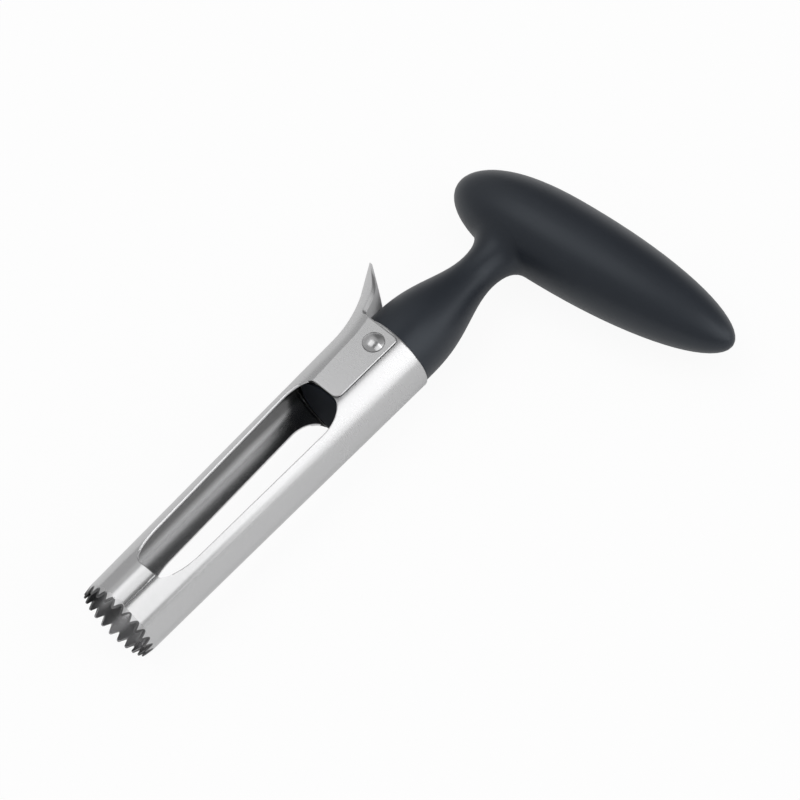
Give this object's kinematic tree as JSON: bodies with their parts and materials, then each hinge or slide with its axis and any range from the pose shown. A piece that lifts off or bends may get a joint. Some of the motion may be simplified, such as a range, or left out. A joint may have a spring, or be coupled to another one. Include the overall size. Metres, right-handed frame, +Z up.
{
  "type": "apple corer",
  "caption": "Hand-held apple corer with a toothed, windowed steel barrel that opens on a rivet when its thumb lever is pressed, and a matte T-shaped grip.",
  "frame": {"origin": "middle of the bounding box in X and Y, at the table that the corer lies on", "axes": "+X towards the long end of the grip's bar, +Y along the barrel from the teeth to the grip, +Z up off the table, along the hinge rivet"},
  "size_m": [0.099, 0.1886, 0.0301],
  "materials": {
    "grip_plastic": "matte, soft to the touch",
    "steel_sheet": "satin, finely brushed round the barrel",
    "rivet_steel": "polished"
  },
  "bodies": {
    "grip": {"handle": "grip_plastic", "fixed_shell": "steel_sheet", "hinge_rivet": "rivet_steel"},
    "jaw": {"hinged_jaw": "steel_sheet"}
  },
  "joints": [
    {"name": "jaw_hinge", "type": "hinge", "parent": "grip", "child": "jaw", "pos_m": [-0.0242, 0.01534, 0.01505], "axis": [0, 0, -1], "range_deg": [0, 24]}
  ]
}
